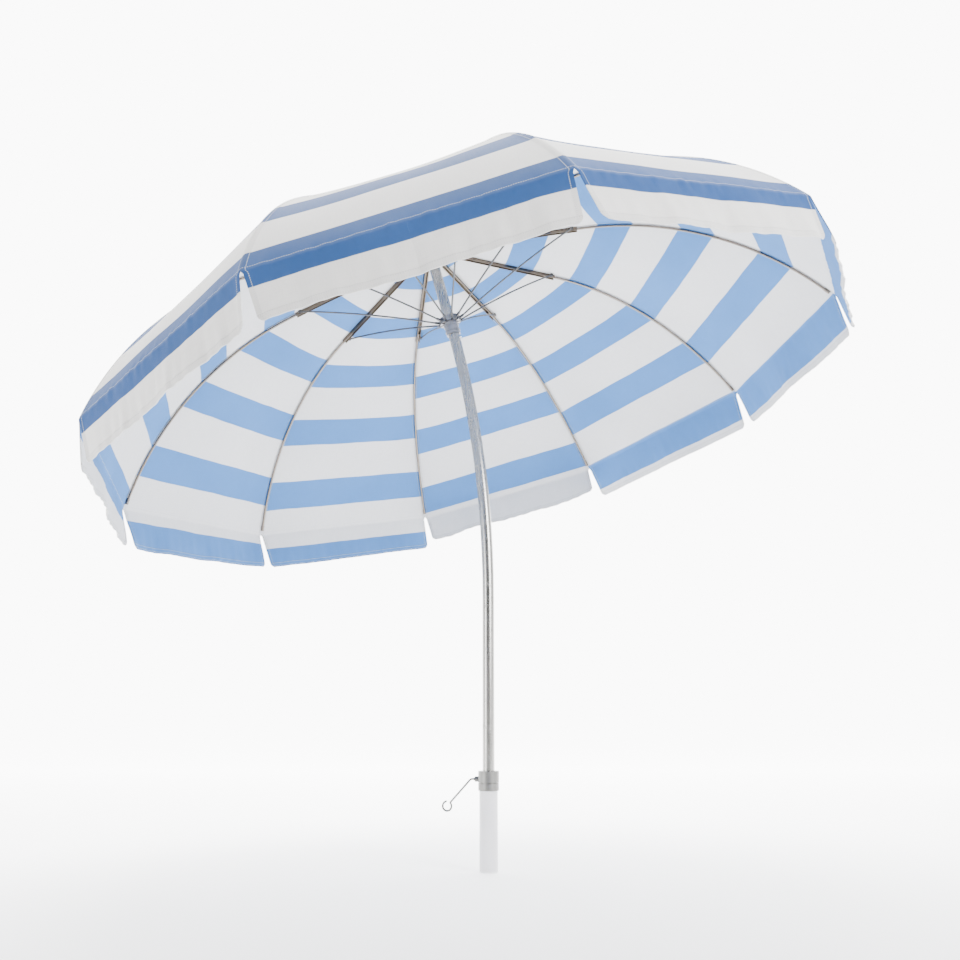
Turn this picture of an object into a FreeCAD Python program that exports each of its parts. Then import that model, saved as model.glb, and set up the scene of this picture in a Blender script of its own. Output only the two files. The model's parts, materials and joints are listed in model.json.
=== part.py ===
# Beach umbrella with a bent aluminium pole, in millimetres, +Z up.
# The origin is the middle of the lower tube's foot. The canopy leans towards -X.
import FreeCAD, Part
import math
import os

from FreeCAD import Placement, Rotation, Vector

RIBS = 10  # ribs, stretchers and canopy panels
X_AXIS, Y_AXIS, Z_AXIS = Vector(1, 0, 0), Vector(0, 1, 0), Vector(0, 0, 1)
PLAIN = Rotation()
ALONG_X = Rotation(Y_AXIS, 90)  # turns a cylinder's axis from Z to X
ALONG_Y = Rotation(X_AXIS, -90)  # turns a cylinder's axis from Z to Y
UPRIGHT_RING = Rotation(Vector(1, 1, 1), 240)  # a torus stands in XZ, starts at +Z, runs to +X

DIMENSIONS = {
    # pole
    "lean": 15.8,  # degrees between the canopy's axis and the vertical
    "bend_start": 555,
    "bend_radius": 2290,
    "crown_reach": 204,  # straight pole between the bend and the crown
    "pole_dia": 25,
    "pole_wall": 1.3,
    "pole_foot": 30,
    "pole_top": 12,  # above the rib pivots
    "bush_height": 22,
    # lower tube and clamp
    "tube_dia": 38,
    "tube_wall": 2,
    "tube_top": 169,
    "plug_flange": 3,
    "plug_height": 20,
    "collar_dia": 43,
    "socket_foot": 158,
    "socket_top": 172,
    "spigot_dia": 37,  # the tube's end inside the socket
    "neck_dia": 37,
    "neck_height": 1.5,
    "clamp_height": 23,
    "clamp_slit": 1.6,
    "screw_level": 180,
    "nut_dia": 11,
    "nut_length": 11,
    "nut_depth": 4,  # how far the nut is let into the ring
    "thread_play": 0.08,
    "pole_play": 0.06,
    "tip_play": 0.1,
    "thread_dia": 6,
    "thread_length": 19,
    "screw_wire": 4,
    "screw_reach": 3,
    "screw_bend": 8,
    "screw_slope": 47,
    "screw_arm": 62,
    "eye_radius": 9.5,
    "eye_turn": 312,
    # crown
    "crown_dia": 52,
    "crown_below": 9,
    "crown_above": 3.8,
    "ring_radius": 20,
    "ring_wire": 2.4,
    "crown_slot": 5.8,
    "slot_floor": 14.5,
    "washer_dia": 60,
    "washer_level": 6.4,
    "washer_height": 2,
    "cap_dia": 40,
    "cap_step": 6,
    "knob_rise": 4,
    # ribs
    "first_rib": 9.5,  # degrees from +X round the canopy's axis
    "rib_slope": 10,
    "channel_start": 12,
    "channel_end": 330,
    "channel_size": 9,
    "channel_wall": 1.2,
    "tongue_width": 5,
    "tongue_height": 7,
    "tongue_reach": 40,
    "eye_dia": 9,
    "pin_hole": 3,
    "strap_length": 22,
    "strap_size": 9.8,
    "joint_reach": 317.8,  # along the channel to the stretcher's joint
    "rivet_dia": 3,
    "rod_dia": 5.5,
    "rod_rise": 0.5,
    "rod_stub": 34,
    "rod_radius": 698,
    "rod_angle": 49.5,
    "tip_dia": 7.6,
    "tip_length": 14,
    "tip_depth": 12,
    # runner and stretchers
    "runner_drop": 188,  # from the rib pivots to the stretcher pivots
    "flange_dia": 50,
    "flange_height": 13,
    "runner_bore": 26,
    "runner_ring": 20.5,
    "runner_slot": 4.4,
    "runner_floor": 15.5,
    "tooth_gap": 2,
    "tooth_depth": 1.5,
    "sleeve_dia": 32,
    "sleeve_length": 30,
    "band_dia": 35,
    "band_height": 3,
    "wire_dia": 4,
    "wire_sag": 6,
    "blade_width": 3.6,
    "blade_height": 5,
    "blade_length": 14,
    "blade_eye": 7,
    "blade_hole": 2.9,
    "joint_offset": 9,  # the stretcher's end lies this far beside the rib
    "plate_dia": 8.4,
    "plate_width": 2.6,
    "head_dia": 6,
    "head_height": 1.2,
    # catch below the runner
    "catch_drop": 235.5,
    "catch_height": 14,
    "catch_width": 3,
    "catch_inner": 8,
    "catch_outer": 16,
    "catch_ramp": 16,  # degrees
    "catch_play": 0.2,
    # canopy
    "fabric_lift": 5.3,  # above the channel's middle
    "fabric_thick": 1.2,
    "fabric_start": 7,
    "fabric_past_tip": 1.1,  # degrees of arc
    "valance_length": 95,
    "valance_slope": 84,
    "panel_gap": 0.4,
    "slit_width": 26,
}

doc = FreeCAD.newDocument("BeachUmbrella")
sheet = doc.addObject("Spreadsheet::Sheet", "dims")
for row, (alias, value) in enumerate(DIMENSIONS.items(), start=1):
    sheet.set(f"A{row}", alias)
    sheet.set(f"B{row}", str(value))
    sheet.setAlias(f"B{row}", alias)
doc.recompute()


def size(alias):
    """The value of one cell of the sheet."""
    return float(sheet.get(alias))


def add(kind, name, at=None, turn=PLAIN, **sizes):
    """A Part primitive whose sizes are expressions on the sheet."""
    thing = doc.addObject("Part::" + kind, name)
    for prop, value in sizes.items():
        thing.setExpression(prop, value)
    thing.Placement = Placement(at or Vector(), turn)
    return thing


def fuse(name, *things):
    joined = doc.addObject("Part::MultiFuse", name)
    joined.Shapes = list(things)
    return joined


def cut(name, base, *tools):
    result = doc.addObject("Part::Cut", name)
    result.Base = base
    result.Tool = tools[0] if len(tools) == 1 else fuse(name + "_tools", *tools)
    return result


def group(name, frame, *things):
    """Separate solids that are kept as one sub-part, placed in a frame."""
    gathered = doc.addObject("Part::Compound", name)
    gathered.Links = list(things)
    gathered.Placement = frame
    return gathered


def tube(name, at, outer, inner, height):
    """An upright tube. Outer and inner are expressions for its radii."""
    shell = add("Cylinder", name + "_shell", at, Radius=outer, Height=height)
    bore = add("Cylinder", name + "_bore", at, Radius=inner, Height=height)
    return cut(name, shell, bore)


def cross_pin(name, at, radius, length, width, turn=PLAIN):
    """A cylinder along Y, or along Y turned, with its middle at a point."""
    start = at - turn.multVec(Vector(0, width / 2, 0))
    return add("Cylinder", name, start, turn * ALONG_Y, Radius=radius, Height=length)


def centred_box(name, at, length, width, height, extent):
    """A box that starts at a point in X and is centred on it in Y and Z."""
    corner = at - Vector(0, extent[0] / 2, extent[1] / 2)
    return add("Box", name, corner, Length=length, Width=width, Height=height)


PARTS = {}


def keep(node, thing):
    thing.Label = node
    PARTS[node] = thing


# Frames: the crown's origin is the middle of the rib pivots, its Z is the canopy's axis.
lean = math.radians(size("lean"))
bend_rise = size("bend_radius") * math.sin(lean)
bend_shift = size("bend_radius") * (1 - math.cos(lean))
crown_origin = Vector(
    -bend_shift - size("crown_reach") * math.sin(lean),
    0,
    size("bend_start") + bend_rise + size("crown_reach") * math.cos(lean),
)
CROWN = Placement(crown_origin, Rotation(Y_AXIS, -size("lean")))


def rib_angle(k):
    return size("first_rib") + 360 / RIBS * k


def rib_frame(k):
    """X points out along rib k and Z along the canopy's axis."""
    return CROWN * Placement(Vector(), Rotation(Z_AXIS, rib_angle(k)))


def build_lower_tube():
    flange = size("plug_flange")
    wall = add("Cylinder", "tube_shell", Vector(0, 0, flange), Radius="dims.tube_dia / 2",
               Height="dims.socket_foot - dims.plug_flange")
    end = add("Cylinder", "tube_end", Vector(0, 0, size("socket_foot")),
              Radius="dims.spigot_dia / 2", Height="dims.tube_top - dims.socket_foot")
    bore = add("Cylinder", "tube_bore", Vector(0, 0, flange),
               Radius="dims.tube_dia / 2 - dims.tube_wall",
               Height="dims.tube_top - dims.plug_flange")
    keep("lower_tube", cut("tube", fuse("tube_solid", wall, end), bore))
    disc = add("Cylinder", "plug_disc", Radius="dims.tube_dia / 2", Height="dims.plug_flange")
    spigot = add("Cylinder", "plug_spigot", Radius="dims.tube_dia / 2 - dims.tube_wall",
                 Height="dims.plug_height")
    keep("tube_end_plug", fuse("plug", disc, spigot))


def build_clamp():
    foot, top = size("socket_foot"), size("socket_top")
    body = add("Cylinder", "socket_body", Vector(0, 0, foot), Radius="dims.collar_dia / 2",
               Height="dims.socket_top - dims.socket_foot")
    seat = add("Cylinder", "socket_seat", Vector(0, 0, foot), Radius="dims.spigot_dia / 2",
               Height="dims.tube_top - dims.socket_foot")
    mouth = add("Cylinder", "socket_mouth", Vector(0, 0, foot), Radius="dims.pole_dia / 2 + 0.5",
                Height="dims.socket_top - dims.socket_foot")
    keep("collar_socket", cut("socket", body, seat, mouth))

    level, outer = size("screw_level"), size("collar_dia") / 2
    neck = add("Cylinder", "clamp_neck", Vector(0, 0, top), Radius="dims.neck_dia / 2",
               Height="dims.neck_height")
    ring = add("Cylinder", "clamp_body", Vector(0, 0, top + size("neck_height")),
               Radius="dims.collar_dia / 2", Height="dims.clamp_height")
    bore = add("Cylinder", "clamp_bore", Vector(0, 0, top), Radius="dims.pole_dia / 2 + dims.pole_play",
               Height="dims.clamp_height + dims.neck_height")
    slit = centred_box("clamp_gap", Vector(0, 0, level), "dims.collar_dia", "dims.clamp_slit",
                       "4 * dims.clamp_height", (size("clamp_slit"), 4 * size("clamp_height")))
    nut_start = Vector(-outer + size("nut_depth"), 0, level)
    pocket = add("Cylinder", "nut_pocket", nut_start, ALONG_X.inverted(),
                 Radius="dims.nut_dia / 2", Height="dims.nut_length")
    way = add("Cylinder", "screw_way", Vector(0, 0, level), ALONG_X.inverted(),
              Radius="dims.thread_dia / 2 + dims.thread_play", Height="dims.collar_dia")
    keep("clamp_ring", cut("clamp", fuse("clamp_solid", neck, ring), bore, slit, pocket, way))

    nut = add("Cylinder", "nut_body", nut_start, ALONG_X.inverted(),
              Radius="dims.nut_dia / 2", Height="dims.nut_length")
    thread_way = add("Cylinder", "nut_way", Vector(0, 0, level), ALONG_X.inverted(),
                     Radius="dims.thread_dia / 2 + dims.thread_play", Height="dims.collar_dia")
    keep("clamp_nut", cut("nut", nut, thread_way))


def build_clamp_screw():
    """The pigtail screw: a thread, a bend, a sloping arm and an open eye, in the XZ plane."""
    tip = Vector(-size("pole_dia") / 2 - size("tip_play"), 0, size("screw_level"))
    slope, bend = math.radians(size("screw_slope")), size("screw_bend")
    down = Vector(-math.cos(slope), 0, -math.sin(slope))
    start = tip + Vector(-size("thread_length"), 0, 0)
    elbow = start + Vector(-size("screw_reach"), 0, 0)
    arm = elbow + Vector(-bend * math.sin(slope), 0, -bend * (1 - math.cos(slope)))
    eye_edge = arm + down * size("screw_arm")
    eye_middle = eye_edge + down * size("eye_radius")
    thread = add("Cylinder", "screw_thread", tip, ALONG_X.inverted(),
                 Radius="dims.thread_dia / 2", Height="dims.thread_length")
    shank = add("Cylinder", "screw_shank", start, ALONG_X.inverted(),
                Radius="dims.screw_wire / 2", Height="dims.screw_reach")
    elbow_turn = Rotation(Z_AXIS, 180) * UPRIGHT_RING
    curve = add("Torus", "screw_elbow", elbow - Vector(0, 0, bend), elbow_turn,
                Radius1="dims.screw_bend", Radius2="dims.screw_wire / 2",
                Angle3="dims.screw_slope")
    arm_turn = Rotation(Y_AXIS, 180 + 90 - size("screw_slope"))
    lever = add("Cylinder", "screw_lever", arm, arm_turn,
                Radius="dims.screw_wire / 2", Height="dims.screw_arm")
    eye_turn = Rotation(Y_AXIS, 90 - size("screw_slope")) * UPRIGHT_RING
    eye = add("Torus", "screw_eye", eye_middle, eye_turn,
              Radius1="dims.eye_radius", Radius2="dims.screw_wire / 2", Angle3="dims.eye_turn")
    keep("clamp_screw", fuse("screw", thread, shank, curve, lever, eye))
    print("clamp screw eye", [round(c, 1) for c in eye_middle])


def bent_bar(name, radius, foot, top):
    """The pole's line as a solid bar: straight, bent and straight again."""
    lower = add("Cylinder", name + "_lower", Vector(0, 0, foot), Radius=radius,
                Height=f"dims.bend_start - {foot}")
    middle = add("Torus", name + "_bend", Vector(-size("bend_radius"), 0, size("bend_start")),
                 Rotation(X_AXIS, 90), Radius1="dims.bend_radius", Radius2=radius,
                 Angle3="dims.lean")
    straight = CROWN.multVec(Vector(0, 0, -size("crown_reach")))
    upper = add("Cylinder", name + "_upper", straight, CROWN.Rotation, Radius=radius,
                Height=f"dims.crown_reach + {top}")
    return fuse(name, lower, middle, upper)


def build_pole():
    foot, top = size("pole_foot"), size("pole_top")
    outer = bent_bar("pole_outer", "dims.pole_dia / 2", foot, top)
    inner = bent_bar("pole_inner", "dims.pole_dia / 2 - dims.pole_wall", foot, top)
    play = size("catch_play")
    slot_foot = Vector(0, -size("catch_width") / 2 - play, -size("catch_drop") - play)
    slot = add("Box", "catch_slot", CROWN.multVec(slot_foot), CROWN.Rotation,
               Length="dims.pole_dia", Width="dims.catch_width + 2 * dims.catch_play",
               Height="dims.catch_height + 2 * dims.catch_play")
    keep("upper_pole", cut("pole", outer, inner, slot))
    keep("guide_bush", tube(
        "bush", Vector(0, 0, foot), "dims.tube_dia / 2 - dims.tube_wall - dims.pole_play",
        "dims.pole_dia / 2 + dims.pole_play", "dims.bush_height"))


def build_catch():
    corner = Vector(size("catch_inner"), -size("catch_width") / 2, -size("catch_drop"))
    blade = add("Box", "catch_blade", CROWN.multVec(corner), CROWN.Rotation,
                Length="dims.catch_outer - dims.catch_inner", Width="dims.catch_width",
                Height="dims.catch_height")
    ramp_foot = Vector(size("catch_outer"), -size("catch_width"), -size("catch_drop"))
    ramp = add("Box", "catch_ramp", CROWN.multVec(ramp_foot),
               CROWN.Rotation * Rotation(Y_AXIS, -size("catch_ramp")), Length="dims.catch_outer",
               Width="2 * dims.catch_width", Height="2 * dims.catch_height")
    keep("runner_catch", cut("catch", blade, ramp))


def ring_of_slots(name, count, first, box_for):
    """Boxes placed round the Z axis. box_for makes one, named and turned."""
    return [box_for(f"{name}_{i}", Rotation(Z_AXIS, first + 360 / count * i))
            for i in range(count)]


def radial_box(name, turn, start, length, width, height, extent):
    corner = turn.multVec(Vector(start, -extent[0] / 2, -extent[1] / 2))
    return add("Box", name, corner, turn, Length=length, Width=width, Height=height)


def build_crown():
    below, wide = size("crown_below"), size("crown_dia")
    disc = add("Cylinder", "crown_disc", Vector(0, 0, -below), Radius="dims.crown_dia / 2",
               Height="dims.crown_below + dims.crown_above")
    bore = add("Cylinder", "crown_bore", Vector(0, 0, -below), Radius="dims.pole_dia / 2",
               Height="dims.crown_below + dims.crown_above")
    groove = add("Torus", "crown_groove", Radius1="dims.ring_radius",
                 Radius2="dims.ring_wire / 2")
    slots = ring_of_slots(
        "crown_gap", RIBS, size("first_rib"),
        lambda name, turn: radial_box(
            name, turn, size("slot_floor"), "dims.crown_dia", "dims.crown_slot",
            "dims.crown_dia", (size("crown_slot"), wide)))
    keep("crown_notch", group("crown", CROWN, cut("crown_cut", disc, bore, groove, *slots)))
    wire = add("Torus", "crown_ring", Radius1="dims.ring_radius", Radius2="dims.ring_wire / 2")
    keep("crown_wire", group("crown_wire_ring", CROWN, wire))
    washer = tube("washer", Vector(0, 0, size("washer_level")), "dims.washer_dia / 2",
                  "dims.pole_dia / 2", "dims.washer_height")
    keep("crown_washer", group("washer_plate", CROWN, washer))


def build_top_cap():
    foot = size("washer_level") + size("washer_height")
    step = size("cap_step")
    rim = add("Cylinder", "cap_rim", Vector(0, 0, foot), Radius="dims.cap_dia / 2",
              Height="dims.cap_step")
    cone = add("Cone", "cap_cone", Vector(0, 0, foot + step), Radius1="dims.cap_dia / 2",
               Radius2="dims.cap_dia / 4", Height="dims.cap_step")
    knob = add("Sphere", "cap_knob", Vector(0, 0, foot + 2 * step + size("knob_rise")),
               Radius="0.9 * dims.cap_dia / 4")
    seat = add("Cylinder", "cap_seat", Vector(0, 0, foot), Radius="dims.pole_dia / 2",
               Height="dims.pole_top - dims.washer_level - dims.washer_height")
    keep("top_cap", group("cap", CROWN, cut("cap_cut", fuse("cap_solid", rim, cone, knob), seat)))


def build_runner():
    frame = CROWN * Placement(Vector(0, 0, -size("runner_drop")), PLAIN)
    half = size("flange_height") / 2
    wide = size("flange_dia")
    disc = add("Cylinder", "flange_disc", Vector(0, 0, -half), Radius="dims.flange_dia / 2",
               Height="dims.flange_height")
    bore = add("Cylinder", "flange_bore", Vector(0, 0, -half), Radius="dims.runner_bore / 2",
               Height="dims.flange_height")
    groove = add("Torus", "flange_groove", Radius1="dims.runner_ring",
                 Radius2="dims.ring_wire / 2")
    slots = ring_of_slots(
        "flange_slot", RIBS, size("first_rib"),
        lambda name, turn: radial_box(
            name, turn, size("runner_floor"), "dims.flange_dia", "dims.runner_slot",
            "dims.flange_dia", (size("runner_slot"), wide)))
    rim = wide / 2 - size("tooth_depth")
    gaps = []
    for share in (0.33, 0.5, 0.67):
        gaps += ring_of_slots(
            f"tooth_{round(100 * share)}", RIBS, size("first_rib") + 360 / RIBS * share,
            lambda name, turn: radial_box(
                name, turn, rim, "dims.tooth_depth + 1", "dims.tooth_gap",
                "dims.flange_dia", (size("tooth_gap"), wide)))
    flange = cut("flange_cut", disc, bore, groove, *slots, *gaps)
    keep("runner_flange", group("flange", frame, flange))

    wire = add("Torus", "runner_ring_wire", Radius1="dims.runner_ring",
               Radius2="dims.ring_wire / 2")
    keep("runner_wire", group("runner_wire_ring", frame, wire))
    sleeve_foot = -half - size("sleeve_length")
    sleeve = tube("sleeve", Vector(0, 0, sleeve_foot), "dims.sleeve_dia / 2",
                  "dims.runner_bore / 2", "dims.sleeve_length")
    keep("runner_sleeve", group("sleeve_part", frame, sleeve))
    bands = [tube(f"band_{i}", Vector(0, 0, sleeve_foot + share * size("sleeve_length")),
                  "dims.band_dia / 2", "dims.sleeve_dia / 2", "dims.band_height")
             for i, share in enumerate((0.25, 0.7))]
    keep("runner_bands", group("bands", frame, *bands))


def rib_point(along, above):
    """A place in a rib's frame, given along its channel and above the channel's middle."""
    slope = math.radians(size("rib_slope"))
    return Vector(size("ring_radius") + along * math.cos(slope) + above * math.sin(slope), 0,
                  above * math.cos(slope) - along * math.sin(slope))


def channel_pattern():
    """One rib's channel in its own frame, with X along it from the pivot."""
    wide, wall = size("channel_size"), size("channel_wall")
    start, hollow = size("channel_start"), size("channel_size") - 2 * size("channel_wall")
    length = "dims.channel_end - dims.channel_start"
    bar = centred_box("channel_bar", Vector(start, 0, 0), length, "dims.channel_size",
                      "dims.channel_size", (wide, wide))
    strap = centred_box(
        "channel_strap", Vector(size("channel_end") - size("strap_length"), 0, 0),
        "dims.strap_length", "dims.strap_size", "dims.strap_size",
        (size("strap_size"), size("strap_size")))
    inside = centred_box("channel_inside", Vector(start, 0, -wall - 1), length,
                         "dims.channel_size - 2 * dims.channel_wall", "dims.channel_size + 2",
                         (hollow, wide + 2))
    tongue = centred_box("channel_tongue", Vector(0, 0, 0), "dims.tongue_reach",
                         "dims.tongue_width", "dims.tongue_height",
                         (size("tongue_width"), size("tongue_height")))
    end = cross_pin("channel_end_eye", Vector(), "dims.eye_dia / 2", "dims.tongue_width",
                    size("tongue_width"))
    shell = cut("channel_shell", fuse("channel_outer", bar, strap), inside)
    joint = Vector(size("joint_reach"), 0, 0)
    hole = cross_pin("channel_pin_hole", Vector(), "dims.pin_hole / 2", "dims.channel_size", wide)
    rivet_hole = cross_pin("channel_rivet_hole", joint, "dims.rivet_dia / 2", "dims.strap_size",
                           size("strap_size"))
    channel = cut("channel", fuse("channel_solid", shell, tongue, end), hole, rivet_hole)
    rivet = cross_pin("channel_rivet", joint, "dims.rivet_dia / 2", "dims.strap_size",
                      size("strap_size"))
    return [channel, rivet]


def rod_pattern():
    """One rib's springy rod and its tip cap, in the channel's frame."""
    rise, radius = size("rod_rise"), size("rod_radius")
    bend = math.radians(size("rod_angle"))
    start = Vector(size("channel_end"), 0, rise)
    middle = start - Vector(0, 0, radius)
    stub = add("Cylinder", "rod_stub_bar", start, ALONG_X.inverted(), Radius="dims.rod_dia / 2",
               Height="dims.rod_stub")
    arc = add("Torus", "rod_arc", middle, UPRIGHT_RING, Radius1="dims.rod_radius",
              Radius2="dims.rod_dia / 2", Angle3="dims.rod_angle")
    hole = cross_pin("rod_hole", Vector(size("joint_reach"), 0, 0), "dims.rivet_dia / 2",
                     "dims.channel_size", size("channel_size"))
    rod = cut("rod", fuse("rod_solid", stub, arc), hole)
    end = middle + Vector(math.sin(bend), 0, math.cos(bend)) * radius
    outward = Vector(math.cos(bend), 0, -math.sin(bend))
    tip_turn = Rotation(Y_AXIS, 90 + size("rod_angle"))
    tip_start = end - outward * size("tip_depth")
    shell = add("Cylinder", "tip_shell", tip_start, tip_turn, Radius="dims.tip_dia / 2",
                Height="dims.tip_length")
    seat = add("Cylinder", "tip_seat", tip_start, tip_turn,
               Radius="dims.rod_dia / 2 + dims.tip_play",
               Height="dims.tip_depth")
    return [rod, cut("tip", shell, seat)]


def stretcher_pattern():
    """One stretcher in its own frame, with X from its pivot to the joint on the rib."""
    length, pitch, yaw = stretcher_line()
    to_ring = Rotation(Y_AXIS, pitch) * Rotation(Z_AXIS, -yaw)  # the hole lies on the ring wire
    blade = centred_box("stretcher_blade", Vector(), "dims.blade_length", "dims.blade_width",
                        "dims.blade_height", (size("blade_width"), size("blade_height")))
    eye = cross_pin("stretcher_eye", Vector(), "dims.blade_eye / 2", "dims.blade_width",
                    size("blade_width"))
    hole = cross_pin("stretcher_hole", Vector(), "dims.blade_hole / 2", "dims.blade_eye",
                     size("blade_eye"), to_ring)
    chord_start, chord_end = size("blade_length") - 2, length - 3
    chord, sag = chord_end - chord_start, size("wire_sag")
    radius = chord ** 2 / (8 * sag) + sag / 2
    spread = 2 * math.degrees(math.asin(chord / 2 / radius))
    middle = Vector((chord_start + chord_end) / 2, 0, sag - radius)
    wire = add("Torus", "stretcher_wire", middle, Rotation(Y_AXIS, -spread / 2) * UPRIGHT_RING,
               Radius1=str(radius), Radius2="dims.wire_dia / 2", Angle3=str(spread))
    joint = Vector(length, 0, 0)
    plate = cross_pin("stretcher_plate", joint, "dims.plate_dia / 2", "dims.plate_width",
                      size("plate_width"))
    head = add("Cylinder", "stretcher_head", joint + Vector(0, size("plate_width") / 2, 0),
               ALONG_Y, Radius="dims.head_dia / 2", Height="dims.head_height")
    return cut("stretcher", fuse("stretcher_solid", blade, eye, wire, plate, head), hole)


def stretcher_line():
    """The stretcher's length, rise and sideways angle when the canopy is open."""
    joint = rib_point(size("joint_reach"), 0)
    out = joint.x - size("runner_ring")
    rise = joint.z + size("runner_drop")
    side = size("joint_offset")
    length = math.sqrt(out ** 2 + side ** 2 + rise ** 2)
    pitch = math.degrees(math.asin(rise / length))
    return length, pitch, math.degrees(math.atan2(side, out))


def panel_pattern():
    """The fabric that one rib carries: half a gore on each side, and its valance."""
    half_gore = math.radians(180 / RIBS)
    rise, radius = size("rod_rise"), size("rod_radius")
    bend = math.radians(size("rod_angle") + size("fabric_past_tip"))
    hang = math.radians(size("valance_slope"))

    def edge(above):
        """The fabric's line in the middle of a gore, this far above the channel's middle."""
        def place(along, height):
            point = rib_point(along, height)
            return Vector(point.x * math.cos(half_gore), 0, point.z)

        def on_arc(angle):
            reach = radius - rise + above
            return place(size("channel_end") + reach * math.sin(angle),
                         rise - radius + reach * math.cos(angle))
        corner = on_arc(bend)
        foot = corner + Vector(math.cos(hang), 0, -math.sin(hang)) * size("valance_length")
        inner = place(size("fabric_start"), above)
        join = on_arc(0)
        return [Part.LineSegment(inner, join), Part.Arc(join, on_arc(bend / 2), corner),
                Part.LineSegment(corner, foot)], inner, foot

    below, below_start, below_end = edge(size("fabric_lift"))
    above, above_start, above_end = edge(size("fabric_lift") + size("fabric_thick"))
    ends = [Part.LineSegment(below_start, above_start), Part.LineSegment(below_end, above_end)]
    outline = [curve.toShape() for curve in below + above + ends]
    face = Part.Face(Part.Wire(Part.__sortEdges__(outline)))
    face.translate(Vector(0, -size("panel_gap") / 2, 0))
    reach = 2 * above_end.x * math.tan(half_gore)
    half = face.extrude(Vector(0, -reach, 0))
    half.rotate(Vector(), Z_AXIS, 180 / RIBS)
    room = Part.makeBox(4 * reach, reach, 2 * reach, Vector(0, 0, -1.5 * reach))
    half = half.common(room)
    whole = half.fuse(half.mirror(Vector(), Y_AXIS)).removeSplitter()

    top, low = above_end.z + size("valance_length"), above_end.z - 1
    wide = size("slit_width") / 2
    corners = [Vector(0, 0, top), Vector(0, wide, low), Vector(0, -wide, low), Vector(0, 0, top)]
    slit = Part.Face(Part.makePolygon(corners)).extrude(Vector(4 * reach, 0, 0))
    pattern = doc.addObject("Part::Feature", "panel_pattern")
    pattern.Shape = whole.cut(slit)
    return pattern


def build_ribs():
    channel, rod, stretcher, panel = (
        channel_pattern(), rod_pattern(), stretcher_pattern(), panel_pattern())
    _, pitch, yaw = stretcher_line()
    in_rib = Placement(Vector(size("ring_radius"), 0, 0), Rotation(Y_AXIS, size("rib_slope")))
    # The runner tips over as it slides round the bend. Each stretcher lies on the side of its
    # rib that it moves away to.
    flipped = doc.addObject("Part::Mirroring", "stretcher_flipped")
    flipped.Source = stretcher
    flipped.Normal = Y_AXIS
    arms = {-1: flipped, 1: stretcher}
    for k in range(RIBS):
        number = f"{k + 1:02d}"
        frame = rib_frame(k)
        side = -1 if k < RIBS / 2 else 1
        on_runner = Placement(Vector(size("runner_ring"), 0, -size("runner_drop")),
                              Rotation(Z_AXIS, side * yaw) * Rotation(Y_AXIS, -pitch))
        keep(f"rib_channel_{number}", group(f"rib_channel_{number}", frame * in_rib, *channel))
        keep(f"rib_rod_{number}", group(f"rib_rod_{number}", frame * in_rib, *rod))
        keep(f"stretcher_{number}", group(f"stretcher_{number}", frame * on_runner, arms[side]))
        keep(f"canopy_panel_{number}", group(f"canopy_panel_{number}", frame, panel))


build_lower_tube()
build_clamp()
build_clamp_screw()
build_pole()
build_catch()
build_crown()
build_top_cap()
build_runner()
build_ribs()
doc.recompute()

for thing in doc.Objects:
    if {"Invalid", "Error"} & set(thing.State):
        raise RuntimeError(f"{thing.Label} failed: {thing.State}")
for node, thing in PARTS.items():
    if thing.Shape.isNull() or not thing.Shape.isValid() or not thing.Shape.Solids:
        raise RuntimeError(f"{node} has no valid solid")

os.makedirs("parts", exist_ok=True)
for node, thing in PARTS.items():
    thing.Shape.exportStep(f"parts/{node}.step")
print(len(PARTS), "sub-parts written")
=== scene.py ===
import json
import math

import bmesh
import bpy
import numpy as np
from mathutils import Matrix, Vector, noise


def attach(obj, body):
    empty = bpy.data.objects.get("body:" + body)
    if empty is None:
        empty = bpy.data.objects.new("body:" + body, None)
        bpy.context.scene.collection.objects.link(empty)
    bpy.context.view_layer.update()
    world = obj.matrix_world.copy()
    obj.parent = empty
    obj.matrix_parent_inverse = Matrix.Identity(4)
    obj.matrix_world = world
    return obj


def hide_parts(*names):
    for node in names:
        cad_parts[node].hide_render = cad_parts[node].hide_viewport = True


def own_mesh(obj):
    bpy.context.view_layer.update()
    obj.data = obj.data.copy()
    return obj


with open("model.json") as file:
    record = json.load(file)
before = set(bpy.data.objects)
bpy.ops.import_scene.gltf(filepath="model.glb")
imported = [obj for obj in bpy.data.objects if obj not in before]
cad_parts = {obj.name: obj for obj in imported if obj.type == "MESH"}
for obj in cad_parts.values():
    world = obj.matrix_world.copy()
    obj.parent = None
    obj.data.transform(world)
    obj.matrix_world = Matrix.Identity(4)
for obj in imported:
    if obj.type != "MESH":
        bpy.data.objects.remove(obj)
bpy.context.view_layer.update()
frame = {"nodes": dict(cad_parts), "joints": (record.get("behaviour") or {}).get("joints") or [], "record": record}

JOINTS = {j["name"]: j for j in frame["joints"]}
RIBS = sum(name.startswith("rib_fold") for name in JOINTS)
HALF = math.pi / RIBS  # half the angle between two ribs

# The rib's line, as the frame has it, in metres
RING = 0.020  # rib pivots, from the canopy's axis
SLOPE = math.radians(10)
CHANNEL_END = 0.330
ROD_RISE, ROD_RADIUS = 0.0005, 0.698
CLOTH_LIFT = 0.0050  # the cloth's underside above the channel's middle
CLOTH_START = 0.007
CLOTH_THICK = 0.0008
CLOTH_TURN = math.radians(50.6)  # arc of the cloth past the channel's end

# Valance
VALANCE = 0.095
FOLD_RADIUS = 0.010
HEM = 0.012  # doubled cloth along the valance's edge
SEAM = 0.009  # doubled cloth beside a rib or a slit
HANG = math.radians(85)
BLOWN_GORE, BLOWN_HANG = 2, math.radians(116)  # one flap is blown in

# How far the cloth gives way
SAG = 0.010  # between the ribs
PUCKER = 0.0021  # where the fold is sewn

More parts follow.
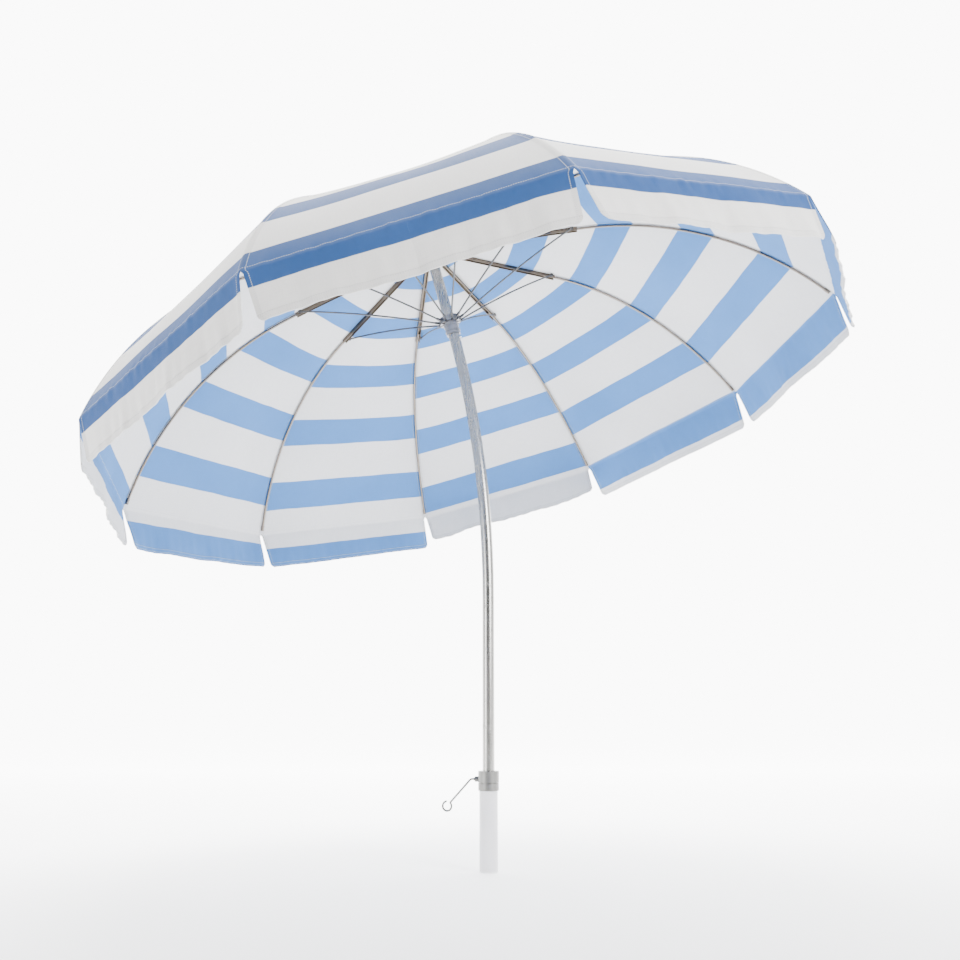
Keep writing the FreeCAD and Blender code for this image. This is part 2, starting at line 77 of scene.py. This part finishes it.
# Stripes, along the cloth from the crown
BLUE_WIDTH, WHITE_WIDTH = 0.081, 0.109
PERIOD = BLUE_WIDTH + WHITE_WIDTH
STRIPE_BLUR = 0.0012
# where each gore's outermost full blue stripe ends, past the fold
STRIPE_END = (0.076, 0.072, -0.011, 0.124, 0.108, 0.034, 0.033, 0.033, 0.032, 0.080)


def unit(v):
    return v / np.linalg.norm(v)


# The canopy's frame, from the rib pivots
PIVOTS = [np.array(JOINTS[f"rib_fold_{k + 1:02d}"]["pos_m"]) for k in range(RIBS)]
TANGENTS = [unit(np.array(JOINTS[f"rib_fold_{k + 1:02d}"]["axis"])) for k in range(RIBS)]
CROWN = sum(PIVOTS) / RIBS
AXIS = unit(np.cross(TANGENTS[0], TANGENTS[1]))
OUTWARD = [unit(np.cross(t, AXIS)) for t in TANGENTS]


def turned(v, angle):
    """v turned about the canopy's axis, where v is square to it."""
    return v * math.cos(angle) + np.cross(AXIS, v) * math.sin(angle)


# ---------------------------------------------------------------- materials

def material(name):
    m = bpy.data.materials.new(name)
    m.use_nodes = True
    tree = m.node_tree
    shader = next(n for n in tree.nodes if n.type == "BSDF_PRINCIPLED")
    return m, tree, shader


def node(tree, kind, inputs=None, **props):
    """A shader node. inputs maps a socket's name or number to a value or to an output."""
    n = tree.nodes.new("ShaderNode" + kind)
    for key, value in props.items():
        setattr(n, key, value)
    for key, value in (inputs or {}).items():
        if isinstance(value, bpy.types.NodeSocket):
            tree.links.new(value, n.inputs[key])
        else:
            n.inputs[key].default_value = value
    return n


def maths(tree, operation, a, b=0.0, c=0.0):
    return node(tree, "Math", {0: a, 1: b, 2: c}, operation=operation).outputs[0]


def mixed(tree, share, a, b, blend="MIX"):
    n = node(tree, "Mix", data_type="RGBA", blend_type=blend)
    for socket, value in ((0, share), (6, a), (7, b)):
        if isinstance(value, bpy.types.NodeSocket):
            tree.links.new(value, n.inputs[socket])
        else:
            n.inputs[socket].default_value = value
    return n.outputs[2]


def remap(tree, value, low, high, to_low=0.0, to_high=1.0, smooth=False):
    kind = "SMOOTHSTEP" if smooth else "LINEAR"
    return node(tree, "MapRange", {0: value, 1: low, 2: high, 3: to_low, 4: to_high},
                interpolation_type=kind).outputs[0]


def scaled(tree, where, scale):
    return node(tree, "Mapping", {"Vector": where, "Scale": scale}).outputs[0]


def line_at(tree, value, level, half, edge):
    """1 within half of a level, falling to 0 at edge from it."""
    gap = maths(tree, "ABSOLUTE", maths(tree, "SUBTRACT", value, level))
    return remap(tree, gap, half, edge, 1.0, 0.0)


def noise_at(tree, where, scale, detail=3.0, rough=0.5):
    return node(tree, "TexNoise", {"Vector": where, "Scale": scale, "Detail": detail,
                                   "Roughness": rough}).outputs["Fac"]


def bumped(tree, shader, height, distance, strength=1.0, below=None):
    inputs = {"Height": height, "Distance": distance, "Strength": strength}
    if below is not None:
        inputs["Normal"] = below
    n = node(tree, "Bump", inputs)
    tree.links.new(n.outputs[0], shader.inputs["Normal"])
    return n.outputs[0]


def metal(name, colour, rough, brushed=False, grain=900.0, dirt=0.25, bump=0.00004):
    """A metal with colour drift, grain, scuffed roughness and a little grime."""
    m, tree, shader = material(name)
    place = node(tree, "TexCoord").outputs["Object"]
    grainy = noise_at(tree, scaled(tree, place, (1, 1, 0.03)) if brushed else place,
                      grain, 4.0, 0.6)
    cloudy = noise_at(tree, place, 14.0, 4.0, 0.55)
    spots = remap(tree, noise_at(tree, place, 55.0, 5.0, 0.65), 0.55, 0.75, smooth=True)
    dark = tuple(c * 0.62 for c in colour[:3]) + (1,)
    drift = mixed(tree, remap(tree, cloudy, 0.3, 0.7, 0.0, 0.35), colour, dark)
    grime = maths(tree, "MULTIPLY", spots, dirt)
    tree.links.new(mixed(tree, grime, drift, (0.10, 0.085, 0.07, 1)),
                   shader.inputs["Base Color"])
    uneven = maths(tree, "ADD", remap(tree, grainy, 0.3, 0.7, rough - 0.05, rough + 0.07),
                   maths(tree, "MULTIPLY", spots, 0.22))
    tree.links.new(uneven, shader.inputs["Roughness"])
    shader.inputs["Metallic"].default_value = 1.0
    bumped(tree, shader, grainy, bump, 0.6)
    return m


def plastic(name, colour, rough, coat=0.0):
    """A moulded or painted skin: slight orange peel, scuffs and colour drift."""
    m, tree, shader = material(name)
    place = node(tree, "TexCoord").outputs["Object"]
    peel = noise_at(tree, place, 420.0, 2.0)
    cloudy = noise_at(tree, place, 9.0, 4.0)
    scuffs = noise_at(tree, scaled(tree, place, (1, 1, 0.2)), 160.0, 5.0, 0.7)
    soiled = tuple(c * 0.86 for c in colour[:3]) + (1,)
    tree.links.new(mixed(tree, remap(tree, cloudy, 0.35, 0.75, 0.0, 0.6), colour, soiled),
                   shader.inputs["Base Color"])
    tree.links.new(remap(tree, scuffs, 0.35, 0.75, rough - 0.05, rough + 0.16),
                   shader.inputs["Roughness"])
    shader.inputs["Coat Weight"].default_value = coat
    bumped(tree, shader, peel, 0.00006, 0.5)
    return m


# One blue cloth: its outside blue is darker, as painted shade, and its inside blue paler, as painted light coming
# through from above
BLUE_OUT_PAINTED_SHADE, WHITE_OUT = (0.010, 0.056, 0.190, 1), (0.68, 0.67, 0.655, 1)
BLUE_IN_PAINTED_LIGHT, WHITE_IN = (0.064, 0.205, 0.50, 1), (0.68, 0.685, 0.70, 1)
THREAD = 0.0011  # the weave's thread spacing
STITCH = 0.0038  # length of one stitch and its gap
SEAM_STITCH = 0.0075  # stitched line, from the rib or the slit's edge
HEM_STITCHES = (0.011, 0.0035)  # stitched lines, from the valance's edge
FOLD_STITCH = 0.006  # stitched line, above the fold


def blue_stripes(tree, uv, run):
    """1 on the blue stripes and 0 on the white ones, with slightly wavering edges."""
    waver = maths(tree, "MULTIPLY", maths(tree, "SUBTRACT", noise_at(tree, uv, 9.0, 2.0), 0.5),
                  0.006)
    turn = maths(tree, "FRACT", maths(tree, "DIVIDE", maths(tree, "ADD", run, waver), PERIOD))
    share, soft = BLUE_WIDTH / PERIOD, STRIPE_BLUR / PERIOD
    rise = remap(tree, turn, 0.0, soft)
    fall = remap(tree, turn, share, share + soft, 1.0, 0.0)
    return maths(tree, "MULTIPLY", rise, fall)


def weave_and_fibre(tree, uv, across, along):
    """The crossing threads, and the uneven yarn that they are spun from."""
    threads = [maths(tree, "SINE", maths(tree, "MULTIPLY", way, 2 * math.pi / THREAD))
               for way in (across, along)]
    slubs = [noise_at(tree, scaled(tree, uv, scale), 1.0, 3.0, 0.6)
             for scale in ((40, 700, 1), (700, 40, 1))]
    return maths(tree, "MULTIPLY", *threads), maths(tree, "ADD", *slubs)


def dashes(tree, along):
    """1 on each stitch and 0 in the gap before the next."""
    dash = maths(tree, "FRACT", maths(tree, "DIVIDE", along, STITCH))
    return line_at(tree, dash, 0.5, 0.28, 0.36)


def stitching(tree, across, along, from_rib):
    """The sewn lines, which draw the cloth in, and the thread that shows along them."""
    seams = None
    for level in (-FOLD_STITCH, *(VALANCE - inset for inset in HEM_STITCHES)):
        line = line_at(tree, along, level, 0.0004, 0.0011)
        seams = line if seams is None else maths(tree, "MAXIMUM", seams, line)
    rib_line = line_at(tree, from_rib, SEAM_STITCH, 0.0004, 0.0010)
    stitches = maths(tree, "MAXIMUM", maths(tree, "MULTIPLY", seams, dashes(tree, across)),
                     maths(tree, "MULTIPLY", rib_line, dashes(tree, along)))
    return maths(tree, "MAXIMUM", seams, rib_line), stitches


def cloth(name, blue, white, fade, through):
    """Striped woven cloth. Its UVs are metres: across the gore, and out from the fold.

    fade is how far the blue has faded in patches. through is the share of the light that
    comes through.
    """
    m, tree, shader = material(name)
    uv = node(tree, "UVMap", uv_map="cloth").outputs[0]
    stripe_uv = node(tree, "UVMap", uv_map="stripe").outputs[0]
    place = node(tree, "TexCoord").outputs["Object"]
    across, along, _ = node(tree, "SeparateXYZ", {0: uv}).outputs
    from_rib, run, _ = node(tree, "SeparateXYZ", {0: stripe_uv}).outputs
    is_blue = blue_stripes(tree, uv, run)
    weave, fibre = weave_and_fibre(tree, uv, across, along)
    seams, stitches = stitching(tree, across, along, from_rib)
    cloudy = noise_at(tree, place, 5.0, 4.0, 0.55)

    base = mixed(tree, is_blue, white, blue)
    faded = tuple(min(1, c * 1.25 + 0.04) for c in blue[:3]) + (1,)
    sunned = maths(tree, "MULTIPLY", is_blue, remap(tree, cloudy, 0.35, 0.75, 0.0, fade))
    base = mixed(tree, sunned, base, faded)

    hem = VALANCE - HEM
    hem_gap = maths(tree, "ABSOLUTE", maths(tree, "SUBTRACT", along, hem - 0.0005))
    shade = remap(tree, fibre, 0.7, 1.3, 0.93, 1.05)
    for darker in (
            remap(tree, cloudy, 0.3, 0.7, 0.96, 1.02),
            remap(tree, weave, -1.0, 1.0, 0.965, 1.02),
            # Painted shade: a dark line at the hem's folded edge, a darker band where the cloth is doubled beside
            # the ribs and slits, the doubled hem darker, and the sewn lines darker where they draw the cloth in
            remap(tree, hem_gap, 0.0, 0.0012, 0.80, 1.0),
            remap(tree, from_rib, SEAM - 0.0002, SEAM + 0.0008, 0.90, 1.0),
            remap(tree, along, hem - 0.0008, hem, 1.0, 0.93),
            remap(tree, seams, 0.0, 1.0, 1.0, 0.84)):
        shade = maths(tree, "MULTIPLY", shade, darker)
    grey = node(tree, "CombineColor", {0: shade, 1: shade, 2: shade}).outputs[0]
    base = mixed(tree, 1.0, base, grey, "MULTIPLY")
    base = mixed(tree, maths(tree, "MULTIPLY", stitches, 0.42), base, (0.80, 0.81, 0.83, 1))
    tree.links.new(base, shader.inputs["Base Color"])
    tree.links.new(remap(tree, fibre, 0.7, 1.3, 0.78, 0.92), shader.inputs["Roughness"])
    shader.inputs["Sheen Weight"].default_value = 0.06
    shader.inputs["Sheen Roughness"].default_value = 0.5
    shader.inputs["Specular IOR Level"].default_value = 0.25

    relief = maths(tree, "ADD", maths(tree, "MULTIPLY", weave, 0.5), fibre)
    relief = maths(tree, "ADD", relief, maths(tree, "MULTIPLY", stitches, 2.5))
    relief = maths(tree, "SUBTRACT", relief, maths(tree, "MULTIPLY", seams, 1.5))
    first = bumped(tree, shader, relief, 0.00012, 0.55)
    creases = noise_at(tree, scaled(tree, uv, (60, 14, 1)), 1.0, 4.0, 0.6)
    normal = bumped(tree, shader, creases, 0.0010, 0.5, below=first)
    glow = node(tree, "BsdfTranslucent", {"Normal": normal})
    tree.links.new(mixed(tree, 0.30, base, (0.9, 0.92, 0.96, 1)), glow.inputs["Color"])
    both = node(tree, "MixShader", {0: through})
    tree.links.new(shader.outputs[0], both.inputs[1])
    tree.links.new(glow.outputs[0], both.inputs[2])
    end = next(n for n in tree.nodes if n.type == "OUTPUT_MATERIAL")
    tree.links.new(both.outputs[0], end.inputs["Surface"])
    return m


# The outside carries the blue darkened as painted shade, the inside the blue paled as painted light
CLOTH_OUT = cloth("cloth_outside_painted_shade", BLUE_OUT_PAINTED_SHADE, WHITE_OUT, 0.22, 0.12)
CLOTH_IN = cloth("cloth_inside_painted_light", BLUE_IN_PAINTED_LIGHT, WHITE_IN, 0.20, 0.26)


# ---------------------------------------------------------------- canopy

def mesh_object(name, verts, faces):
    mesh = bpy.data.meshes.new(name)
    mesh.from_pydata([tuple(v) for v in verts], [], faces)
    mesh.validate()
    for p in mesh.polygons:
        p.use_smooth = True
    obj = bpy.data.objects.new(name, mesh)
    bpy.context.scene.collection.objects.link(obj)
    return obj


STRAIGHT = CHANNEL_END - CLOTH_START
ARC_RADIUS = ROD_RADIUS - ROD_RISE + CLOTH_LIFT
REACH = STRAIGHT + ARC_RADIUS * CLOTH_TURN  # cloth from the crown to the fold


def in_rib_plane(along, above):
    return np.array((RING + along * math.cos(SLOPE) + above * math.sin(SLOPE),
                     above * math.cos(SLOPE) - along * math.sin(SLOPE)))


def profile(s, hang):
    """The cloth's line over a rib at length s: (radius, height) and its slope."""
    if s <= STRAIGHT:
        return in_rib_plane(CLOTH_START + s, CLOTH_LIFT), SLOPE
    if s <= REACH:
        a = (s - STRAIGHT) / ARC_RADIUS
        return in_rib_plane(CHANNEL_END + ARC_RADIUS * math.sin(a),
                            ROD_RISE - ROD_RADIUS + ARC_RADIUS * math.cos(a)), SLOPE + a
    point, start = profile(REACH, hang)
    turn = hang - start
    bend = FOLD_RADIUS * abs(turn)
    past = s - REACH
    a = start + turn * min(past / bend, 1.0)
    sign = 1 if turn > 0 else -1
    point = point + sign * FOLD_RADIUS * np.array((math.sin(a) - math.sin(start),
                                                   math.cos(a) - math.cos(start)))
    point = point + max(past - bend, 0.0) * np.array((math.cos(a), -math.sin(a)))
    return point, a


def gore_waves(gore):
    """The folds of one gore's valance: (waves a metre, phase, depth), the same each run."""
    draw = np.random.default_rng(40 + gore)
    return [(f * draw.uniform(0.85, 1.15), draw.uniform(0, 2 * math.pi), d * draw.uniform(0.6, 1.2))
            for f, d in ((2.6, 0.0035), (5.5, 0.0022), (13.0, 0.0012), (31.0, 0.0007))]


def smooth01(x):
    x = min(max(x, 0.0), 1.0)
    return x * x * (3 - 2 * x)


def cloth_point(gore, x, s, width):
    """A point of the cloth: x is its place across the gore, from -width / 2 to width / 2."""
    middle = turned(OUTWARD[gore], HALF)
    across = np.cross(AXIS, middle)
    (radius, height), slope = profile(s, BLOWN_HANG if gore == BLOWN_GORE else HANG)
    out = radius * math.cos(HALF)
    normal = middle * math.sin(slope) + AXIS * math.cos(slope)
    point = CROWN + middle * out + across * x + AXIS * height
    q = 2 * x / width if width else 0.0
    share = s / REACH
    belly = (1 - q * q) * math.sin(math.pi * min(share, 1.0)) ** 1.5
    shift = -SAG * belly
    shift += 0.0022 * noise.noise(Vector(point * 7)) * (1 - q ** 8)
    pull = math.exp(-((s - REACH) / 0.018) ** 2)
    pucker = noise.noise(Vector((x * 95 + gore * 7.3, s * 9, 3.1)))
    shift += PUCKER * pull * pucker * (1 - q ** 6)
    if s > REACH:
        loose = smooth01((s - REACH) / VALANCE)
        for f, phase, depth in gore_waves(gore):
            shift += depth * loose * math.sin(2 * math.pi * f * x + phase)
        shift += 0.0012 * noise.noise(Vector((x * 60, s * 25, gore * 3.7))) * loose
        curl = noise.noise(Vector((gore * 5.1, 8.0 * math.copysign(1, x), 0.3)))
        shift += (0.014 * curl - 0.003) * loose * smooth01((abs(q) - 0.80) / 0.20)
    return point + normal * shift


def half_width(s, gore, side):
    """How far the cloth reaches from the gore's middle, less the slit at the rib."""
    radius = profile(min(s, REACH), HANG)[0][0]
    full = radius * math.sin(HALF)
    if s <= REACH:
        return full
    draw = np.random.default_rng(90 + 2 * gore + side)
    gap = draw.uniform(0.006, 0.011)
    past = (s - REACH) / VALANCE
    corner = 0.008 * max(0.0, (past - 0.88) / 0.12) ** 2
    return full - 0.003 * smooth01(past * 12) - gap * past - corner


def lengths():
    """Stations along the cloth, closer together at the fold and on the valance."""
    dome = list(np.linspace(0.0, REACH - 0.03, 62)) + list(np.linspace(REACH - 0.026, REACH, 8))
    flap = list(REACH + np.linspace(0.002, 0.012, 6)) + list(
        REACH + np.linspace(0.016, VALANCE - 0.0130, 16))
    flap += list(REACH + VALANCE - np.array((0.0115, 0.009, 0.006, 0.003, 0.0)))
    return dome, flap


def stripe_length(s, gore):
    """Where s falls in the gore's stripes."""
    return s - REACH - STRIPE_END[gore] + BLUE_WIDTH


def canopy_panel(k):
    """The cloth that rib k carries: half a gore on each side, joined along the rib."""
    columns = 44
    dome, flap = lengths()
    verts, faces, cloth_uv, stripe_uv, middle = [], [], [], [], []
    for side, gore, sign in ((0, (k - 1) % RIBS, 1), (1, k, -1)):
        first = len(verts)
        rows = dome + flap
        for s in rows:
            full = half_width(s, gore, side)
            rib_width = 2 * half_width(min(s, REACH), gore, side)
            middle.append(len(verts) + columns)
            for c in range(columns + 1):
                t = c / columns
                t = t - 0.12 * math.sin(2 * math.pi * t) / (2 * math.pi)
                x = sign * full * (1 - t)
                verts.append(cloth_point(gore, x, s, rib_width))
                cloth_uv.append((x + gore * 0.611, s - REACH))
                stripe_uv.append((full - abs(x), stripe_length(s, gore)))
        wide = columns + 1
        for r in range(len(rows) - 1):
            for c in range(columns):
                a = first + r * wide + c
                quad = (a, a + 1, a + wide + 1, a + wide)
                faces.append(quad if sign > 0 else tuple(reversed(quad)))
    name = f"canopy_cloth_{k + 1:02d}"
    obj = mesh_object(name, verts, faces)
    for uv_name, values in (("cloth", cloth_uv), ("stripe", stripe_uv)):
        layer = obj.data.uv_layers.new(name=uv_name)
        for loop in obj.data.loops:
            layer.data[loop.index].uv = values[loop.vertex_index]
    obj.data.materials.append(CLOTH_OUT)
    obj.data.materials.append(CLOTH_IN)
    double(obj, middle)
    return obj


def double(obj, middle):
    """Joins the two halves along the rib, above the slit, and gives the cloth both its faces.

    It is twice as thick where the hem, the slits' edges and the rib seam are folded. The
    gore's middle gets no edge, as the next rib's cloth carries straight on from there.
    """
    bm = bmesh.new()
    bm.from_mesh(obj.data)
    flag = bm.verts.layers.int.new("middle")
    bm.verts.ensure_lookup_table()
    for i in middle:
        bm.verts[i][flag] = 1
    bmesh.ops.remove_doubles(bm, verts=bm.verts, dist=CLOTH_THICK / 2)
    bm.normal_update()
    layers = [bm.loops.layers.uv["cloth"], bm.loops.layers.uv["stripe"]]
    inner_faces = list(bm.faces)
    borders = [e.link_loops[0] for e in bm.edges
               if e.is_boundary and not (e.verts[0][flag] and e.verts[1][flag])]
    outer = {}
    for v in list(bm.verts):
        loop = v.link_loops[0]
        folded = loop[layers[0]].uv[1] > VALANCE - HEM or loop[layers[1]].uv[0] < SEAM
        outer[v] = bm.verts.new(v.co + v.normal * CLOTH_THICK * (2 if folded else 1))

    def copy(face, loops, slot, smooth):
        face.material_index, face.smooth = slot, smooth
        for new, old in zip(face.loops, loops):
            for layer in layers:
                new[layer].uv = old[layer].uv

    for face in inner_faces:
        copy(bm.faces.new([outer[v] for v in face.verts]), face.loops, 0, True)
    for loop in borders:
        after = loop.link_loop_next
        corners = (outer[after.vert], outer[loop.vert], loop.vert, after.vert)
        rim = bm.faces.new([bm.verts.new(v.co) for v in corners])
        copy(rim, (after, loop, loop, after), 0, False)
    for face in inner_faces:
        face.normal_flip()
        face.material_index = 1
    bm.to_mesh(obj.data)
    bm.free()


def flat_cut(k):
    """The flat width, length and area of the cloth that one rib carries."""
    dome, flap = lengths()
    rows = dome + flap
    area = 0.0
    for side, gore in ((0, (k - 1) % RIBS), (1, k)):
        for low, high in zip(rows, rows[1:]):
            area += (half_width(low, gore, side) + half_width(high, gore, side)) / 2 * (high - low)
    return (2 * half_width(REACH, k, 1), REACH + VALANCE), area


for k in range(RIBS):
    panel = canopy_panel(k)
    number = f"{k + 1:02d}"
    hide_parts(f"canopy_panel_{number}")
    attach(panel, f"rib_{number}")
    flat, area = flat_cut(k)
    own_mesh(panel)


# ---------------------------------------------------------------- metal and plastic parts

FINISHES = {
    "pole_aluminium": metal("brushed_aluminium", (0.36, 0.355, 0.34, 1), 0.27, brushed=True,
                            grain=260.0, dirt=0.06, bump=0.00002),
    "collar_metal": metal("cast_collar", (0.20, 0.198, 0.19, 1), 0.40, grain=700.0, dirt=0.3),
    "screw_metal": metal("zinc_wire", (0.14, 0.138, 0.13, 1), 0.30, grain=800.0, dirt=0.35),
    "crown_metal": metal("crown_casting", (0.17, 0.17, 0.18, 1), 0.45, dirt=0.4),
    "wire_metal": metal("ring_wire", (0.24, 0.24, 0.24, 1), 0.35, dirt=0.3),
    "runner_metal": metal("runner_casting", (0.28, 0.28, 0.29, 1), 0.40, dirt=0.35),
    "catch_metal": metal("spring_steel", (0.80, 0.80, 0.80, 1), 0.14, dirt=0.05),
    "channel_metal": metal("channel_strip", (0.15, 0.125, 0.10, 1), 0.36, dirt=0.45),
    "rod_metal": metal("rib_rod", (0.20, 0.175, 0.15, 1), 0.27, dirt=0.35),
    "stretcher_metal": metal("stretcher_wire", (0.10, 0.10, 0.10, 1), 0.32, dirt=0.3),
    "white_tube": plastic("white_paint", (0.62, 0.61, 0.63, 1), 0.32, coat=0.15),
    "white_plug": plastic("white_plug", (0.80, 0.80, 0.81, 1), 0.45),
    "bush_plastic": plastic("black_bush", (0.03, 0.03, 0.03, 1), 0.5),
    "cap_plastic": plastic("white_cap", (0.82, 0.82, 0.82, 1), 0.3, coat=0.2),
}
SLOTS = {p["node"]: p["material_slot"] for p in frame["record"]["subparts"]}
for name, obj in frame["nodes"].items():
    finish = FINISHES.get(SLOTS[name])
    if finish is None:
        continue
    obj.data.materials.clear()
    obj.data.materials.append(finish)


# ---------------------------------------------------------------- floor, light and camera

def area_light(name, place, towards, size, power):
    data = bpy.data.lights.new(name, "AREA")
    data.shape = "RECTANGLE"
    data.size, data.size_y = size
    data.energy = power
    light = bpy.data.objects.new(name, data)
    bpy.context.scene.collection.objects.link(light)
    light.location = place
    light.rotation_mode = "QUATERNION"
    light.rotation_quaternion = (Vector(towards) - Vector(place)).to_track_quat("-Z", "Y")


FLOOR = 30.0  # half the floor's side
TO_WALL = (-0.27, 0.94, 0.22)  # towards the middle of the bright wall
ALONG_FLOOR = (-0.276, 0.961, 0.0)  # the same way, along the floor

floor = mesh_object("floor", [(-FLOOR, -FLOOR, 0), (FLOOR, -FLOOR, 0), (FLOOR, FLOOR, 0),
                              (-FLOOR, FLOOR, 0)], [(0, 1, 2, 3)])
floor_material, floor_tree, floor_shader = material("pale_floor_painted_shade_and_glow")
on_floor = node(floor_tree, "TexCoord").outputs["Object"]
mottled = noise_at(floor_tree, on_floor, 3.0, 5.0, 0.6)
speckled = noise_at(floor_tree, on_floor, 240.0, 3.0, 0.6)
depth = node(floor_tree, "VectorMath", {0: on_floor, 1: ALONG_FLOOR},
             operation="DOT_PRODUCT").outputs["Value"]
pale = mixed(floor_tree, remap(floor_tree, mottled, 0.3, 0.7), (0.93, 0.93, 0.93, 1),
             (0.90, 0.90, 0.90, 1))
# Painted shade: the floor is dark in front of the object, out of view, so that the pole reflects dark there
painted_dark_front = remap(floor_tree, depth, -1.8, -0.8, 1.0, 0.0, smooth=True)
floor_tree.links.new(mixed(floor_tree, painted_dark_front, pale, (0.22, 0.22, 0.22, 1)),
                     floor_shader.inputs["Base Color"])
floor_tree.links.new(remap(floor_tree, speckled, 0.3, 0.7, 0.84, 0.96),
                     floor_shader.inputs["Roughness"])
# Painted light: the floor glows, more strongly further back, and so lights the canopy from below
floor_shader.inputs["Emission Color"].default_value = (1, 1, 1, 1)
floor_tree.links.new(remap(floor_tree, depth, -0.9, 3.2, 0.0, 6.5),
                     floor_shader.inputs["Emission Strength"])
bumped(floor_tree, floor_shader, speckled, 0.0003, 0.4)
floor.data.materials.append(floor_material)

# A pale backdrop: bright behind the object, dark on the opposite side
WALL_LIGHT, ROOM_LIGHT, DARK_SIDE = 8.6, 1.7, 0.15
world = bpy.data.worlds.new("studio")
world.use_nodes = True
sky = world.node_tree
background = sky.nodes["Background"]
direction = node(sky, "TexCoord").outputs["Generated"]
facing_wall = node(sky, "VectorMath", {0: direction, 1: TO_WALL},
                   operation="DOT_PRODUCT").outputs["Value"]
wall = remap(sky, facing_wall, 0.25, 0.85, 0.0, WALL_LIGHT, smooth=True)
room = remap(sky, facing_wall, -0.95, -0.35, DARK_SIDE, ROOM_LIGHT, smooth=True)
sky.links.new(maths(sky, "ADD", wall, room), background.inputs["Strength"])
background.inputs["Color"].default_value = (1, 1, 1, 1)
bpy.context.scene.world = world

CENTRE = (-0.10, 0.0, 1.3)
area_light("softbox", (-0.5, 1.0, 4.4), CENTRE, (3.0, 3.0), 470)
area_light("side_fill", (2.6, -1.6, 1.6), CENTRE, (1.2, 1.6), 190)
area_light("low_fill", (-1.9, -2.4, 0.5), CENTRE, (1.2, 1.4), 70)

LENS, SENSOR = 37.0, 36.0
CAMERA_TURN, CAMERA_PITCH = math.radians(16), math.radians(12.95)
camera_data = bpy.data.cameras.new("camera")
camera_data.lens = LENS
camera_data.sensor_width = SENSOR
camera = bpy.data.objects.new("camera", camera_data)
bpy.context.scene.collection.objects.link(camera)
camera.location = (0.566, -2.038, 0.325)
look = Vector((-math.sin(CAMERA_TURN) * math.cos(CAMERA_PITCH),
               math.cos(CAMERA_TURN) * math.cos(CAMERA_PITCH), math.sin(CAMERA_PITCH)))
camera.rotation_mode = "QUATERNION"
camera.rotation_quaternion = look.to_track_quat("-Z", "Y")
bpy.context.scene.camera = camera
